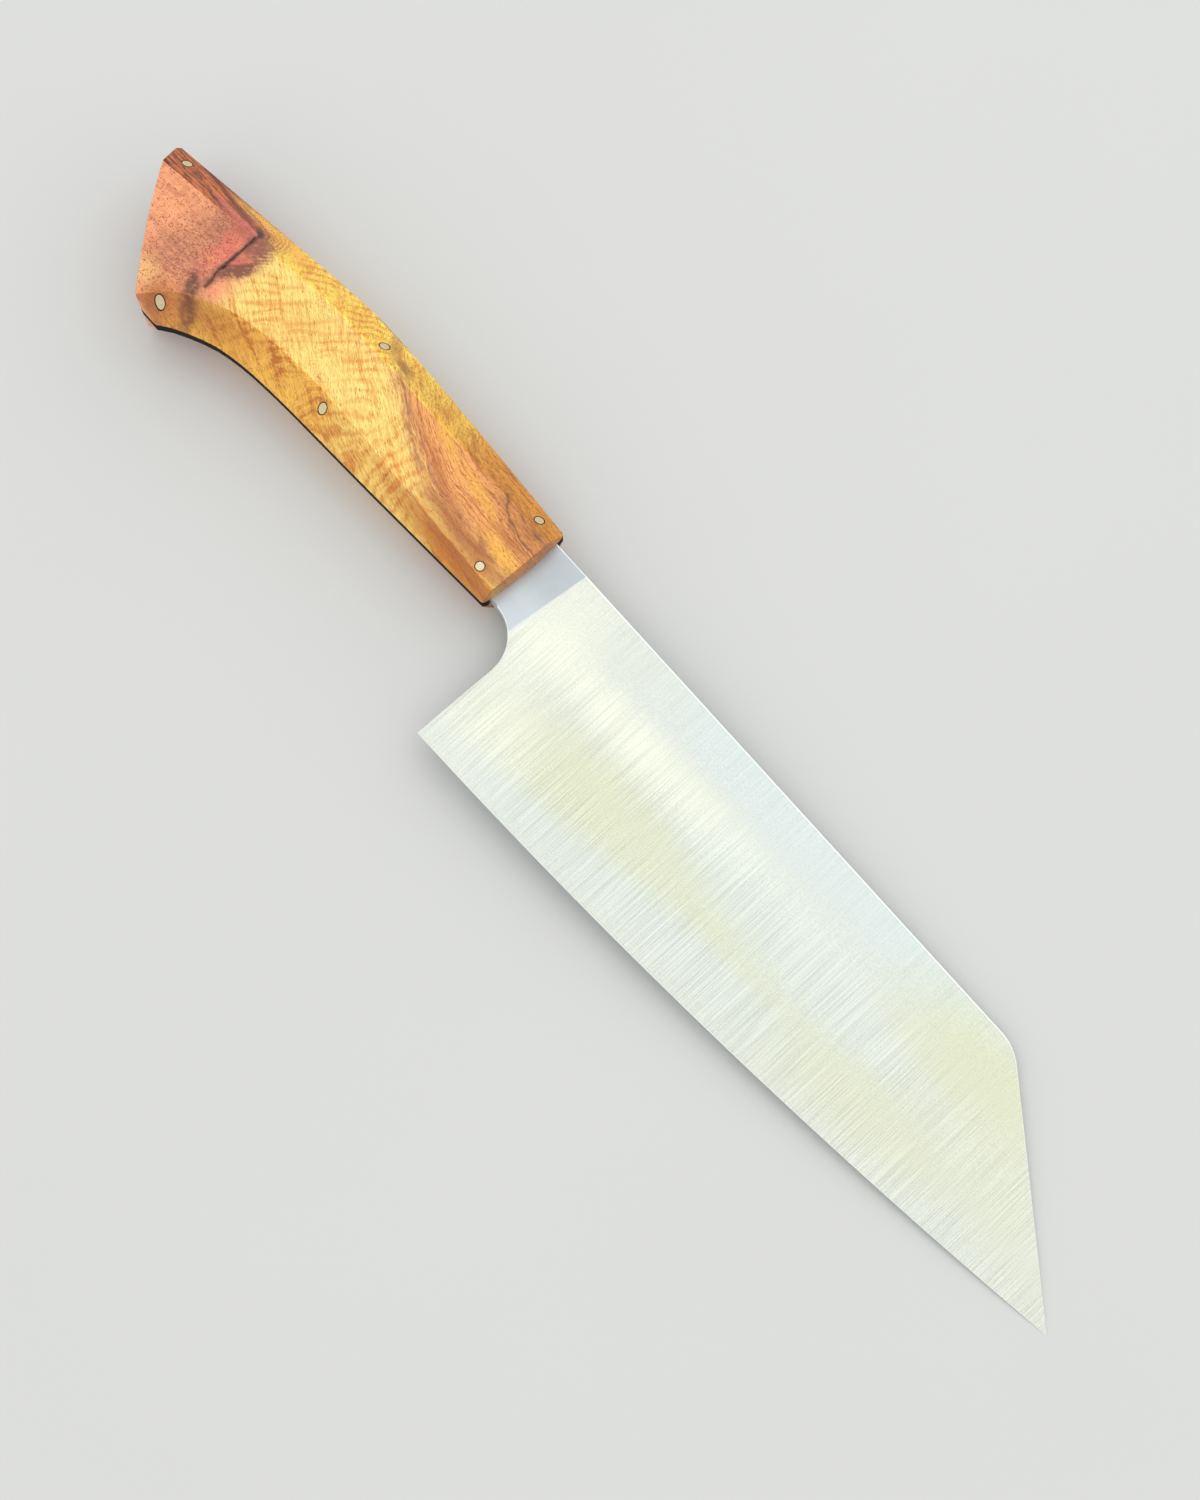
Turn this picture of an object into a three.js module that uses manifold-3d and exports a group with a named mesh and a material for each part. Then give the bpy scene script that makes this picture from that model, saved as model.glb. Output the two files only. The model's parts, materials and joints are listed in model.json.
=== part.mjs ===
// A bunka kitchen knife with a fixed blade.
// The blade's stick tang sits in a slotted black spacer between two wooden scales, and six
// through pins hold the three layers together. The faces of the handle were shaped in one go
// after gluing, so the bevels run through scales, spacer and pin ends.
//
// Plan frame of the knife: x runs from the front of the handle (0) to the tip, y from the cutting
// edge to the spine, and z is square to the blade's mid-plane. Millimetres throughout.

import * as THREE from 'three';
import { mergeVertices } from 'three/addons/utils/BufferGeometryUtils.js';
import Module from 'manifold-3d';

const wasm = await Module();
wasm.setup();

// Blade
const stockThickness = 3.0; // steel at the ricasso and the tang
const bladeLength = 180; // heel to tip, along the spine
const heelHeight = 50; // spine to heel
const heelFromFront = 12; // front of the handle to the heel line
const spineHeight = 9.1; // spine above the centre line of the tang
const neckHeight = 19.2; // spine to the top of the choil
const choilRadius = 9.7;
const tipDrop = 35.4; // spine line down to the tip
const clipLength = 47; // shoulder of the clipped point to the tip, along the spine
const shoulderRadius = 12; // eases the corner between spine and clip
const edgeBelly = 3.05; // bulge of the edge below the straight line from heel to tip
const ricassoLength = 8.5; // front of the handle to the plunge, on the centre line
const plungeLean = 5; // degrees that the plunge line leans forward towards the spine
const plungeRun = 1.4; // from full stock to the ground face
const shoulderThickness = 1.6; // spine at the shoulder, after the distal taper
const bevelShoulderThickness = 0.4; // steel just behind the sharpening bevel
const sharpeningBevel = 0.8; // height of the sharpening bevel
const edgeThickness = 0.04;

// Tang
const neckSeat = 2.6; // how far the full neck goes into the handle
const tangRootHeight = 10;
const tangEndHeight = 7;
const tangLength = 92; // front of the handle to the end of the tang
const tangRootRadius = 1.4; // inside corners where the tang leaves the neck
const tangClearance = 0.3; // glue gap round the neck and the tang

// Handle, seen from the side
const handleLength = 126.5; // front face to the spine corner of the butt
const frontSpine = 11.4; // centre line to the spine side, at the front face
const swellSpine = new THREE.Vector2(-30, 12.95); // spine side in front of the crest
const crestSpine = new THREE.Vector2(-58, 13.75); // highest place on the spine side
const fallSpine = new THREE.Vector2(-76, 12.75); // spine side where it turns to the butt
const buttSpine = 6.5; // spine corner of the butt
const frontBelly = 11.9; // centre line to the belly side, at the front face
const restBelly = new THREE.Vector2(-36, -13.8); // belly side under the first fingers
const pommelDepth = 24.5; // centre line to the pommel flat
const buttAngle = 51; // degrees between the butt and the centre line
const buttBow = 1.0; // the butt bulges this much past a straight cut
const frontBow = 0.8; // so does the front face, towards the blade

// The belly side at the back of the grip, measured forward and up from the butt's belly corner
const waistFromButt = new THREE.Vector2(35.4, 9.35); // before it sweeps down
const sweepFromButt = new THREE.Vector2(21.4, 7.7); // start of the sweep into the pommel
const hookFromButt = new THREE.Vector2(12.9, 4.8); // middle of that sweep
const pommelFromButt = new THREE.Vector2(5, 0.1); // where the sweep meets the pommel flat
const endFromButt = new THREE.Vector2(-0.3, -6.6); // the sweep carried on, before trimming

// Handle, seen from above
const spacerThickness = stockThickness; // the spacer is as thick as the tang that it holds
const gripThickness = 19; // over the flats, from the butt to the middle of the grip
const frontThickness = 13.4; // over the flats, at the front face
const taperFromFront = 55; // where the flats begin to draw in towards the front
const taperCurve = 1.5; // 1 is a straight taper, more starts it gently
const spineBevel = 50; // degrees between the spine bevel and the mid-plane
const bellyBevel = 50; // the belly bevel, from the butt to the middle of the grip
const bellyBevelFront = 65; // the belly bevel at the front face
const frontChamferLength = 0.45; // steep filed facet where each flat meets the front face
const frontChamferDrop = 2.9; // its height on the middle of the front face

// Pins
const pinDiameter = 2.0;
const pinClearance = 0.15; // glue gap round each pin
const frontPinRow = 5.4; // front corners of the handle to the front pins
const middleSpineRow = 57.2; // and to the middle pins, which stand a little out of square
const middleBellyRow = 55.1;
const frontSpineInset = 2.7; // from the outline of the handle in to each pin
const frontBellyInset = 4.4;
const middleSpineInset = 4.5;
const middleBellyInset = 4.45;
const buttSpineInset = 2.7;
const buttSpineForward = 6.4; // spine corner of the butt to its pin, along the handle
const buttBellyInset = 3.4;
const buttBellyForward = 3.9; // belly corner of the butt to its pin, along the handle

// The part's origin lies on the lower flat, under the middle of the grip.
const originFromFront = 60;

// Fineness of the curved stretches
const overrun = 4; // blanks are this much too large before they are trimmed
const handleStations = 40;
const bladeStations = 26;
const outlineSteps = 14;
const pinSides = 20;
const curveHalvings = 40; // steps that close in on a place along a curve
const weldDistance = 1e-4; // points nearer than this are one point

// Solids and geometry

function solidFrom(geometry) {
  const bare = geometry.clone();
  bare.deleteAttribute('normal');
  bare.deleteAttribute('uv');
  const merged = mergeVertices(bare, weldDistance);
  const vertProperties = Float32Array.from(merged.attributes.position.array);
  const triVerts = Uint32Array.from(merged.index.array);
  return new wasm.Manifold(new wasm.Mesh({ numProp: 3, vertProperties, triVerts }));
}

function geometryFrom(solid) {
  const mesh = solid.getMesh();
  const geometry = new THREE.BufferGeometry();
  geometry.setAttribute('position', new THREE.BufferAttribute(mesh.vertProperties, 3));
  geometry.setIndex(new THREE.BufferAttribute(mesh.triVerts, 1));
  geometry.computeVertexNormals();
  return geometry;
}

// Joins convex sections, all with as many corners, into one closed solid. The sections follow
// one another along -x, and each goes round from y towards z.
function loft(sections) {
  const corners = sections[0].length;
  const triangles = [];
  for (let station = 0; station < sections.length - 1; station += 1) {
    for (let corner = 0; corner < corners; corner += 1) {
      const here = station * corners + corner;
      const beside = station * corners + ((corner + 1) % corners);
      triangles.push(here, beside + corners, beside);
      triangles.push(here, here + corners, beside + corners);
    }
  }
  const last = (sections.length - 1) * corners;
  for (let corner = 1; corner < corners - 1; corner += 1) {
    triangles.push(0, corner, corner + 1);
    triangles.push(last, last + corner + 1, last + corner);
  }
  const geometry = new THREE.BufferGeometry().setFromPoints(sections.flat());
  geometry.setIndex(triangles);
  return solidFrom(geometry);
}

// A plan outline cut through the given heights.
function prism(outline, bottom, top) {
  const depth = top - bottom;
  const geometry = new THREE.ExtrudeGeometry(outline, {
    depth,
    bevelEnabled: false,
    curveSegments: outlineSteps,
  });
  geometry.translate(0, 0, bottom);
  return solidFrom(geometry);
}

function roundBar(diameter, x, y, length) {
  const geometry = new THREE.CylinderGeometry(diameter / 2, diameter / 2, length, pinSides);
  geometry.rotateX(Math.PI / 2);
  geometry.translate(x, y, 0);
  return solidFrom(geometry);
}

const slope = (degrees) => Math.tan(THREE.MathUtils.degToRad(degrees));

// Blade

const heelX = heelFromFront;
const tipX = heelX + bladeLength;
const shoulderX = tipX - clipLength;
const tipY = spineHeight - tipDrop;
const heelY = spineHeight - heelHeight;
const neckBottom = spineHeight - neckHeight;
const spineThicknessPerLength = (stockThickness - shoulderThickness) / (shoulderX - ricassoLength);

// The cutting edge: a shallow arc that hangs below the chord from heel to tip.
function edgeAt(x) {
  const along = (x - heelX) / bladeLength;
  const chord = heelY + (tipY - heelY) * along;
  return chord - 4 * edgeBelly * along * (1 - along);
}

// Tang, neck, spine, clip, heel and choil. The edge side is left deep: the grind makes the edge.
function bladeOutline() {
  const clipAngle = Math.atan2(tipDrop, clipLength);
  const ease = shoulderRadius * Math.tan(clipAngle / 2);
  const below = heelY - edgeBelly - overrun;
  const beyondTip = (tipY - below) / Math.tan(clipAngle);
  const rootHalf = tangRootHeight / 2;
  const endHalf = tangEndHeight / 2;
  const outline = new THREE.Shape();
  outline.moveTo(-tangLength + endHalf, endHalf);
  outline.lineTo(-neckSeat - tangRootRadius, rootHalf);
  outline.quadraticCurveTo(-neckSeat, rootHalf, -neckSeat, rootHalf + tangRootRadius);
  outline.lineTo(-neckSeat, spineHeight);
  outline.lineTo(shoulderX - ease, spineHeight);
  outline.quadraticCurveTo(
    shoulderX,
    spineHeight,
    shoulderX + ease * Math.cos(clipAngle),
    spineHeight - ease * Math.sin(clipAngle),
  );
  outline.lineTo(tipX + beyondTip, below);
  outline.lineTo(heelX, below);
  outline.lineTo(heelX, neckBottom - choilRadius);
  outline.absarc(heelX - choilRadius, neckBottom - choilRadius, choilRadius, 0, Math.PI / 2, false);
  outline.lineTo(-neckSeat, neckBottom);
  outline.lineTo(-neckSeat, -rootHalf - tangRootRadius);
  outline.quadraticCurveTo(-neckSeat, -rootHalf, -neckSeat - tangRootRadius, -rootHalf);
  outline.lineTo(-tangLength + endHalf, -endHalf);
  outline.absarc(-tangLength + endHalf, 0, endHalf, Math.PI * 1.5, Math.PI / 2, true);
  return outline;
}

// One section of the ground blade: spine, flat grind, sharpening bevel and edge. The flat grind
// is carried on above the spine, so that the outline can cut the spine out of it.
function groundSection(x, lean) {
  const edge = edgeAt(x);
  const spine = stockThickness / 2 - (spineThicknessPerLength / 2) * (x - ricassoLength);
  const behindEdge = bevelShoulderThickness / 2;
  const bevelTop = edge + sharpeningBevel;
  const rise = (spine - behindEdge) / (spineHeight - bevelTop);
  const corner = (y, half) => new THREE.Vector3(x + lean * y, y, half);
  const top = spineHeight + overrun;
  const half = Math.min(spine + rise * overrun, stockThickness / 2);
  return [
    corner(top, -half),
    corner(top, half),
    corner(spineHeight, spine),
    corner(bevelTop, behindEdge),
    corner(edge, edgeThickness / 2),
    corner(edge, -edgeThickness / 2),
    corner(bevelTop, -behindEdge),
    corner(spineHeight, -spine),
  ];
}

// The same corners at full stock, for the ricasso, the neck and the tang.
function stockSection(x, lean) {
  return groundSection(ricassoLength, lean).map((corner) => {
    const half = (Math.sign(corner.z) * stockThickness) / 2;
    return new THREE.Vector3(x + lean * corner.y, corner.y, half);
  });
}

function buildBlade() {
  const lean = slope(plungeLean);
  const plungeEnd = ricassoLength + plungeRun;
  const sections = [];
  for (let station = 0; station <= bladeStations; station += 1) {
    const x = THREE.MathUtils.lerp(tipX + overrun, plungeEnd, station / bladeStations);
    const straightened = lean * (1 - (x - plungeEnd) / (tipX - plungeEnd));
    sections.push(groundSection(x, Math.max(straightened, 0)));
  }
  sections.push(stockSection(ricassoLength, lean));
  sections.push(stockSection(-tangLength - overrun, 0));
  const outline = prism(bladeOutline(), -stockThickness, stockThickness);
  return loft(sections).intersect(outline);
}

// Handle

const spacerHalf = spacerThickness / 2;

// The butt is one slanting cut with a slight bulge, and the pommel flat another, along the handle.
const spineCorner = new THREE.Vector2(-handleLength, buttSpine);
const buttCorner = new THREE.Vector2(
  -handleLength + (buttSpine + pommelDepth) / slope(buttAngle),
  -pommelDepth,
);

// Carries a curve on in a straight line, past its last point.
function carriedOn(points, distance) {
  const [before, last] = points.slice(-2);
  const onward = last.clone().sub(before).setLength(distance);
  return last.clone().add(onward);
}

function sideCurve(front, points) {
  const atFront = new THREE.Vector2(0, front);
  const ahead = carriedOn([points[0], atFront], overrun);
  return new THREE.SplineCurve([ahead, atFront, ...points]);
}

const spineCurve = sideCurve(frontSpine, [
  swellSpine,
  crestSpine,
  fallSpine,
  spineCorner,
]);
const bellyCurve = sideCurve(-frontBelly, [
  restBelly,
  waistFromButt.clone().add(buttCorner),
  sweepFromButt.clone().add(buttCorner),
  hookFromButt.clone().add(buttCorner),
  pommelFromButt.clone().add(buttCorner),
  endFromButt.clone().add(buttCorner),
]);

// Height of a side curve at x, carried on in a straight line behind its last point.
function heightAt(curve, x) {
  const end = curve.getPoint(1);
  if (x < end.x) {
    const tangent = curve.getTangent(1);
    return end.y + ((x - end.x) * tangent.y) / tangent.x;
  }
  let ahead = 0;
  let behind = 1;
  for (let step = 0; step < curveHalvings; step += 1) {
    const middle = (ahead + behind) / 2;
    if (curve.getPoint(middle).x > x) {
      ahead = middle;
    } else {
      behind = middle;
    }
  }
  return curve.getPoint(ahead).y;
}

// Half the thickness over the flats, which are parallel up to the taper.
function flatAt(x) {
  const drawnIn = Math.max(0, 1 + x / taperFromFront) ** taperCurve;
  return gripThickness / 2 - ((gripThickness - frontThickness) / 2) * drawnIn;
}

// One section of the shaped handle: an upright band for the spacer, with a bevel and a flat on
// either side of it.
function handleSection(x) {
  const spine = heightAt(spineCurve, x);
  const belly = heightAt(bellyCurve, x);
  const flat = flatAt(x);
  const towardsFront = THREE.MathUtils.clamp(1 + x / taperFromFront, 0, 1);
  const bellyDegrees = THREE.MathUtils.lerp(bellyBevel, bellyBevelFront, towardsFront);
  const spineRidge = spine - (flat - spacerHalf) / slope(spineBevel);
  const bellyRidge = belly + (flat - spacerHalf) / slope(bellyDegrees);
  const corner = (y, z) => new THREE.Vector3(x, y, z);
  return [
    corner(spine, -spacerHalf),
    corner(spine, spacerHalf),
    corner(spineRidge, flat),
    corner(bellyRidge, flat),
    corner(belly, spacerHalf),
    corner(belly, -spacerHalf),
    corner(bellyRidge, -flat),
    corner(spineRidge, -flat),
  ];
}

function trimOutline() {
  const above = crestSpine.y + overrun;
  const outwards = buttCorner.clone().sub(spineCorner).normalize();
  outwards.rotateAround(new THREE.Vector2(), -Math.PI / 2);
  const bulge = spineCorner.clone().lerp(buttCorner, 0.5).addScaledVector(outwards, 2 * buttBow);
  const outline = new THREE.Shape();
  outline.moveTo(0, above);
  outline.lineTo(-handleLength - (above - buttSpine) / slope(buttAngle), above);
  outline.lineTo(spineCorner.x, spineCorner.y);
  outline.quadraticCurveTo(bulge.x, bulge.y, buttCorner.x, buttCorner.y);
  outline.lineTo(0, -pommelDepth);
  outline.lineTo(0, -frontBelly);
  outline.quadraticCurveTo(2 * frontBow, (frontSpine - frontBelly) / 2, 0, frontSpine);
  return outline;
}

// Files a plane facet on the bulging front face, under the upper (side 1) or lower (side -1) flat.
// It is widest in the middle of the face and runs out before the corners.
function frontChamfer(side) {
  const across = 4 * pommelDepth;
  const lean = frontChamferLength / frontChamferDrop;
  const foot = frontThickness / 2 - frontChamferDrop;
  const wedge = new THREE.Shape();
  wedge.moveTo(frontBow - lean * (gripThickness - foot), gripThickness);
  wedge.lineTo(frontBow + lean * overrun, foot - overrun);
  wedge.lineTo(frontBow + overrun, foot - overrun);
  wedge.lineTo(frontBow + overrun, gripThickness);
  const geometry = new THREE.ExtrudeGeometry(wedge, { depth: across, bevelEnabled: false });
  geometry.translate(0, 0, -across / 2);
  geometry.rotateX((side * Math.PI) / 2);
  return solidFrom(geometry);
}

function buildHandleBody() {
  const sections = [];
  for (let station = 0; station <= handleStations; station += 1) {
    const x = THREE.MathUtils.lerp(overrun, -handleLength - overrun, station / handleStations);
    sections.push(handleSection(x));
  }
  const trim = prism(trimOutline(), -gripThickness, gripThickness);
  return loft(sections).intersect(trim).subtract(frontChamfer(1)).subtract(frontChamfer(-1));
}

function layer(body, bottom, top) {
  const reach = handleLength + overrun;
  const band = new THREE.BoxGeometry(2 * reach, 2 * reach, top - bottom);
  band.translate(0, 0, (bottom + top) / 2);
  return body.intersect(solidFrom(band));
}

// Room for the neck and the tang, open at the front of the handle.
function tangSlot() {
  const rootHalf = tangRootHeight / 2 + tangClearance;
  const endHalf = tangEndHeight / 2 + tangClearance;
  const seat = -neckSeat - tangClearance;
  const slot = new THREE.Shape();
  slot.moveTo(-tangLength - tangClearance + endHalf, endHalf);
  slot.lineTo(seat - tangRootRadius, rootHalf);
  slot.quadraticCurveTo(seat, rootHalf, seat, rootHalf + tangRootRadius);
  slot.lineTo(seat, spineHeight + tangClearance);
  slot.lineTo(overrun, spineHeight + tangClearance);
  slot.lineTo(overrun, neckBottom - tangClearance);
  slot.lineTo(seat, neckBottom - tangClearance);
  slot.lineTo(seat, -rootHalf - tangRootRadius);
  slot.quadraticCurveTo(seat, -rootHalf, seat - tangRootRadius, -rootHalf);
  slot.lineTo(-tangLength - tangClearance + endHalf, -endHalf);
  slot.absarc(-tangLength - tangClearance + endHalf, 0, endHalf, Math.PI * 1.5, Math.PI / 2, true);
  return prism(slot, -spacerThickness, spacerThickness);
}

// Pins, each set in from the outline of the handle
function pinOn(curve, x, inset) {
  const side = Math.sign(curve.getPoint(0).y);
  return new THREE.Vector2(x, heightAt(curve, x) - side * inset);
}

const pinPlaces = {
  pin_front_spine: pinOn(spineCurve, -frontPinRow, frontSpineInset),
  pin_front_belly: pinOn(bellyCurve, -frontPinRow, frontBellyInset),
  pin_middle_spine: pinOn(spineCurve, -middleSpineRow, middleSpineInset),
  pin_middle_belly: pinOn(bellyCurve, -middleBellyRow, middleBellyInset),
  pin_butt_spine: pinOn(spineCurve, -handleLength + buttSpineForward, buttSpineInset),
  pin_butt_belly: buttCorner.clone().add(new THREE.Vector2(buttBellyForward, buttBellyInset)),
};

function withPinHoles(solid) {
  let drilled = solid;
  for (const place of Object.values(pinPlaces)) {
    const hole = roundBar(pinDiameter + 2 * pinClearance, place.x, place.y, 2 * gripThickness);
    drilled = drilled.subtract(hole);
  }
  return drilled;
}

// Finishes

const steel = { color: 0xdfe2df, roughness: 0.32, metalness: 1 };
const wood = { color: 0xc98743, roughness: 0.42, metalness: 0 };
const composite = { color: 0x141416, roughness: 0.55, metalness: 0 };
const brass = { color: 0xdcc48a, roughness: 0.35, metalness: 1 };

const knife = new THREE.Group();
knife.position.set(originFromFront, 0, gripThickness / 2);

function addPiece(name, solid, finish) {
  const mesh = new THREE.Mesh(geometryFrom(solid), new THREE.MeshStandardMaterial(finish));
  mesh.name = name;
  knife.add(mesh);
}

const handleBody = buildHandleBody();
const upperLayer = layer(handleBody, spacerHalf, gripThickness);
const middleLayer = layer(handleBody, -spacerHalf, spacerHalf);
const lowerLayer = layer(handleBody, -gripThickness, -spacerHalf);

addPiece('blade', buildBlade(), steel);
addPiece('spacer', withPinHoles(middleLayer.subtract(tangSlot())), composite);
addPiece('scale_left', withPinHoles(upperLayer), wood);
addPiece('scale_right', withPinHoles(lowerLayer), wood);
for (const [name, place] of Object.entries(pinPlaces)) {
  const bar = roundBar(pinDiameter, place.x, place.y, 2 * gripThickness);
  addPiece(name, bar.intersect(handleBody), brass);
}

const part = new THREE.Group();
part.add(knife);

export default part;
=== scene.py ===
"""Looks of a bunka knife: ground steel blade, figured wooden scales, black spacer and brass pins."""

import json
import math

import bmesh
import bpy
from bpy.props import FloatProperty, FloatVectorProperty, PointerProperty
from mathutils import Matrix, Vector

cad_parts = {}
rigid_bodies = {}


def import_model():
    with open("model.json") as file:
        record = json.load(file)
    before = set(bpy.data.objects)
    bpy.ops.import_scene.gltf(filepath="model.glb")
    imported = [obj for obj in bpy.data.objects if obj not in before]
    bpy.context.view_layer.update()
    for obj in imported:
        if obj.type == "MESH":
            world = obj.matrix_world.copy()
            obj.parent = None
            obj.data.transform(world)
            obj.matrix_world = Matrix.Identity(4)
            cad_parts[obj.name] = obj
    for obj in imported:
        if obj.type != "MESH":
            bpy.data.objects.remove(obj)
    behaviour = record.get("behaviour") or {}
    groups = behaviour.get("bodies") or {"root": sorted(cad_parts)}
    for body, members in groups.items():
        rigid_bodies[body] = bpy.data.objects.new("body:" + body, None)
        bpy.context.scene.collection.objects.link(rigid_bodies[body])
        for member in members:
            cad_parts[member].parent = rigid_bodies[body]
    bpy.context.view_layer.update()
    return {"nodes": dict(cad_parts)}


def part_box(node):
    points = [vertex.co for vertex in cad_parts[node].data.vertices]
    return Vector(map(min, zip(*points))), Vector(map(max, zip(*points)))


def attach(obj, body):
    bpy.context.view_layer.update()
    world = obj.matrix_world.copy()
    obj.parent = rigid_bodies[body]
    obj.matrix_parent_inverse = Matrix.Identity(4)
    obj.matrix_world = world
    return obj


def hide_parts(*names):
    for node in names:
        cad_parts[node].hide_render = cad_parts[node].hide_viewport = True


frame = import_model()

bl_info = {
    "name": "Bunka knife",
    "version": (1, 0, 0),
    "blender": (4, 5, 0),
    "location": "3D View > Sidebar > Knife",
    "description": "Finishes the solids of a bunka knife and sets them on a studio floor",
    "category": "Object",
}

MM = 0.001
BODY = "root"
SCALES = ("scale_left", "scale_right")
PINS = tuple(sorted(name for name in frame["nodes"] if name.startswith("pin_")))

blade_low, blade_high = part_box("blade")
spacer_low, spacer_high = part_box("spacer")
MID_PLANE = (blade_low.z + blade_high.z) / 2
SPACER_HALF = (spacer_high.z - spacer_low.z) / 2

WELD = 1e-6  # metres; nearer points of a copied solid are one point
NEAR = 2e-5  # metres; nearer points left by a cut are one point
FLATNESS = math.radians(0.15)  # faces that turn less than this are one face
CORNER_TURN = math.radians(42)  # a standing edge of the spacer that turns more than this is a corner
STOCK_TURN = math.radians(50)  # an edge of the blade that turns more than this is a corner of the stock
THICK_STOCK = 0.0009  # half thickness from which the blade's edges are eased in full
PLUG_TURN = math.radians(3)  # faces round a filled hole that turn less than this are one face
RIDGE_TURN = math.radians(18)  # an edge that turns more than this is a ridge
ROUND_STEP = math.radians(16)  # turn from one cut of a rounded corner to the next
SLOT_HALF = 0.0106  # half height of the slot that takes the neck
HOLE_REACH = 0.0014  # faces nearer than this to a pin's middle belong to its hole
WORN_MIDDLE, WORN_REACH = 0.012, 0.04  # where the ridges are roundest and how far that goes
SMOOTH_TURN = math.radians(32)  # an edge that turns less than this is shaded smooth
OUTLINE_LEAN = 0.3  # a face of the blade that looks less than this to the side belongs to its outline
WALL_LEAN = 0.1  # a face that looks less than this to the side is the wall of a hole
STANDING = 0.9  # share of its length that an edge rises, from which it stands
SEAM = 0.0001  # metres; a ridge nearer than this to the spacer stays sharp
LEAST_EASING = 0.4  # share of the easing that the ridges keep at both ends of the handle
EASING_STEPS, RIM_STEPS = 3, 2  # facets of an eased edge of blade or scale, and of a pin's rim
HOLE_SIDES = 48
FLOOR_CELLS = 24
DOME_TOP = 0.9  # height from which the dome is as bright as overhead
DOME_TINT = (0.985, 1.0, 0.99, 1)
LAMP_SIDE = (-0.2, 0.75, 0.75)  # from the knife towards the lamp
SENSOR_WIDTH = 36  # millimetres
CLIP_START = 0.01  # metres
FACING = "facing"  # attribute that holds the outward direction of a piece's faces


def colour_setting(name, description, default):
    return FloatVectorProperty(
        name=name, description=description, default=default, subtype="COLOR", size=3, min=0, max=1
    )


def length_setting(name, description, default):
    return FloatProperty(name=name, description=description, default=default, unit="LENGTH", min=0)


def share_setting(name, description, default):
    return FloatProperty(
        name=name, description=description, default=default, subtype="FACTOR", min=0, max=1
    )


class KnifeBladeSettings(bpy.types.PropertyGroup):
    eased_edge: length_setting("Eased edge", "Rounding along spine, clip and choil", 0.00042)
    steel: colour_setting("Steel", "Ground faces of the blade", (0.75, 0.775, 0.708))
    # The three sheen colours below are painted reflections on the ground faces
    warm_reflection: colour_setting("Warm sheen", "Yellow-green patches on the ground faces", (0.74, 0.755, 0.55))
    cool_reflection: colour_setting("Cool sheen", "Bluish patches on the ground faces", (0.72, 0.783, 0.768))
    cream_reflection: colour_setting("Cream sheen", "Bright band along the ground faces", (0.905, 0.915, 0.77))
    # The next colour is a painted highlight along the eased edges and the cutting edge
    painted_edge_highlight: colour_setting("Polish", "Eased spine and clip, and the cutting edge", (0.92, 0.93, 0.91))
    ricasso: colour_setting("Ricasso", "Unground steel next to the handle", (0.505, 0.546, 0.575))
    roughness: share_setting("Roughness", "Satin of the steel", 0.3)


class KnifeHandleSettings(bpy.types.PropertyGroup):
    ridge_easing: length_setting("Ridge easing", "Rounding of the softest ridges", 0.0009)
    corner_radius: length_setting("Corner radius", "Rounding of the outer corners of the handle", 0.0009)
    salmon: colour_setting("Salmon", "Wood of the butt", (0.98, 0.415, 0.198))
    salmon_dark: colour_setting("Salmon, dark", "Grain of the butt", (0.72, 0.225, 0.115))
    gold: colour_setting("Gold", "Curly wood in the middle", (1.0, 0.765, 0.23))
    gold_dark: colour_setting("Gold, dark", "Grain and figure in the middle", (0.77, 0.3, 0.05))
    tan: colour_setting("Tan", "Wood near the blade", (0.94, 0.42, 0.128))
    tan_dark: colour_setting("Tan, dark", "Grain near the blade", (0.42, 0.118, 0.036))
    # The bevel colours, rust to amber, are the wood's colour with painted shading of each facet
    rust: colour_setting("Rust", "Spine bevel at the butt", (0.7, 0.17, 0.034))
    rust_dark: colour_setting("Rust, dark", "Grain of the spine bevel at the butt", (0.11, 0.018, 0.005))
    honey: colour_setting("Honey", "Spine bevel in the middle", (1.0, 0.74, 0.1))
    honey_dark: colour_setting("Honey, dark", "Grain of the spine bevel, middle", (0.74, 0.25, 0.025))
    olive: colour_setting("Olive", "Spine bevel near the blade", (0.72, 0.285, 0.028))
    olive_dark: colour_setting("Olive, dark", "Grain of the spine bevel, front", (0.34, 0.11, 0.008))
    amber: colour_setting("Amber", "Belly bevel", (1.0, 0.535, 0.075))
    amber_dark: colour_setting("Amber, dark", "Grain of the belly bevel", (0.52, 0.14, 0.016))
    brown: colour_setting("Brown", "Streaks", (0.3, 0.095, 0.03))
    red: colour_setting("Red", "Red heart of the knot", (0.8, 0.18, 0.135))
    mauve: colour_setting("Mauve", "Purple-brown cast round the knot", (0.29, 0.095, 0.08))
    umber: colour_setting("Umber", "Flames beside the knot", (0.2, 0.07, 0.052))
    bark: colour_setting("Bark", "Checks and smudges", (0.075, 0.04, 0.034))
    ink: colour_setting("Ink", "Black line through the knot", (0.01, 0.005, 0.004))
    roughness: share_setting("Roughness", "Oiled wood", 0.42)
    shine: share_setting("Shine", "Specular level of the wood", 0.3)
    sheen: share_setting("Sheen", "Thin coat of oil", 0.1)
    composite: colour_setting("Spacer", "Black middle layer", (0.01, 0.01, 0.011))
    fleck: colour_setting("Flecks", "Paler flecks of the spacer", (0.03, 0.029, 0.028))


class KnifePinSettings(bpy.types.PropertyGroup):
    brass: colour_setting("Brass", "Pin ends", (0.82, 0.68, 0.42))
    tarnish: colour_setting("Tarnish", "Dull patches of the pin ends", (0.5, 0.36, 0.18))
    rim_easing: length_setting("Rim easing", "Rounding of the pin ends", 0.00008)
    glue: colour_setting("Glue", "Dark ring round each pin", (0.03, 0.016, 0.01))
    dust: colour_setting("Dust", "Wood dust in the glue", (0.14, 0.075, 0.04))
    glue_width: length_setting("Glue width", "Gap between a pin and its hole", 0.00022)
    glue_recess: length_setting("Glue recess", "Glue below the surface of the wood", 0.00005)


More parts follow.
